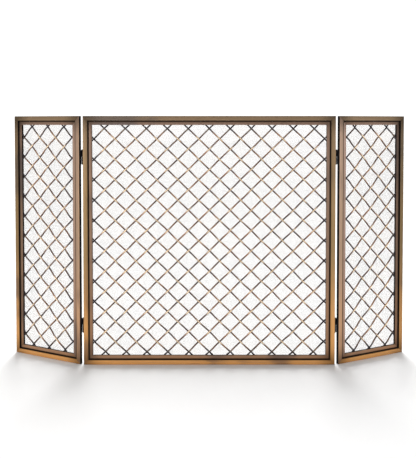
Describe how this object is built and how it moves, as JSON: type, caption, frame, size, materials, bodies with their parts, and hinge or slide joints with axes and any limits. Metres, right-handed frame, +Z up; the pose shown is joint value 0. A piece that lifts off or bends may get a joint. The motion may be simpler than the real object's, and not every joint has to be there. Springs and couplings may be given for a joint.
{
  "type": "fireplace screen",
  "caption": "Folding fireplace screen: a wide centre panel and narrower hinged side panels, bronze box-section frames, woven diamond rod lattice and fine spark mesh behind.",
  "frame": {"origin": "on the floor, at the middle of the whole screen's bounding box across its width and its depth, with the side panels standing back at rest", "axes": "+X runs across the screen from the left panel to the right one as seen from the front, +Y points from the front towards the hearth, +Z is up"},
  "size_m": [1.4148, 0.1489, 0.864],
  "materials": {
    "frame_bronze": "hand-rubbed antique bronze over a dark base coat, satin",
    "trim_bronze": "darker antique bronze, satin",
    "lattice_bronze": "dark bronze with the raised crests rubbed back to gold",
    "spark_mesh": "fine woven steel wire cloth, light bronze-grey",
    "retainer_black": "satin black paint",
    "hinge_black": "satin black paint",
    "pin_steel": "blackened steel"
  },
  "bodies": {
    "centre_panel": {"centre_bottom_rail": "frame_bronze", "centre_bottom_retainer": "retainer_black", "centre_bottom_trim": "trim_bronze", "centre_lattice": "lattice_bronze", "centre_left_rail": "frame_bronze", "centre_left_retainer": "retainer_black", "centre_left_trim": "trim_bronze", "centre_right_rail": "frame_bronze", "centre_right_retainer": "retainer_black", "centre_right_trim": "trim_bronze", "centre_spark_mesh": "spark_mesh", "centre_top_rail": "frame_bronze", "centre_top_retainer": "retainer_black", "centre_top_trim": "trim_bronze", "left_lower_hinge_centre_leaf": "hinge_black", "left_lower_hinge_pin": "pin_steel", "left_upper_hinge_centre_leaf": "hinge_black", "left_upper_hinge_pin": "pin_steel", "right_lower_hinge_centre_leaf": "hinge_black", "right_lower_hinge_pin": "pin_steel", "right_upper_hinge_centre_leaf": "hinge_black", "right_upper_hinge_pin": "pin_steel"},
    "left_panel": {"left_bottom_rail": "frame_bronze", "left_bottom_retainer": "retainer_black", "left_bottom_trim": "trim_bronze", "left_inner_rail": "frame_bronze", "left_inner_retainer": "retainer_black", "left_inner_trim": "trim_bronze", "left_lattice": "lattice_bronze", "left_lower_hinge_side_leaf": "hinge_black", "left_outer_rail": "frame_bronze", "left_outer_retainer": "retainer_black", "left_outer_trim": "trim_bronze", "left_spark_mesh": "spark_mesh", "left_top_rail": "frame_bronze", "left_top_retainer": "retainer_black", "left_top_trim": "trim_bronze", "left_upper_hinge_side_leaf": "hinge_black"},
    "right_panel": {"right_bottom_rail": "frame_bronze", "right_bottom_retainer": "retainer_black", "right_bottom_trim": "trim_bronze", "right_inner_rail": "frame_bronze", "right_inner_retainer": "retainer_black", "right_inner_trim": "trim_bronze", "right_lattice": "lattice_bronze", "right_lower_hinge_side_leaf": "hinge_black", "right_outer_rail": "frame_bronze", "right_outer_retainer": "retainer_black", "right_outer_trim": "trim_bronze", "right_spark_mesh": "spark_mesh", "right_top_rail": "frame_bronze", "right_top_retainer": "retainer_black", "right_top_trim": "trim_bronze", "right_upper_hinge_side_leaf": "hinge_black"}
  },
  "joints": [
    {"name": "left_fold", "type": "hinge", "parent": "centre_panel", "child": "left_panel", "pos_m": [-0.4393, -0.05907, 0.432], "axis": [0, 0, 1], "range_deg": [-152.5, 36]},
    {"name": "right_fold", "type": "hinge", "parent": "centre_panel", "child": "right_panel", "pos_m": [0.4393, -0.05907, 0.432], "axis": [0, 0, 1], "range_deg": [-36, 152.5]}
  ]
}
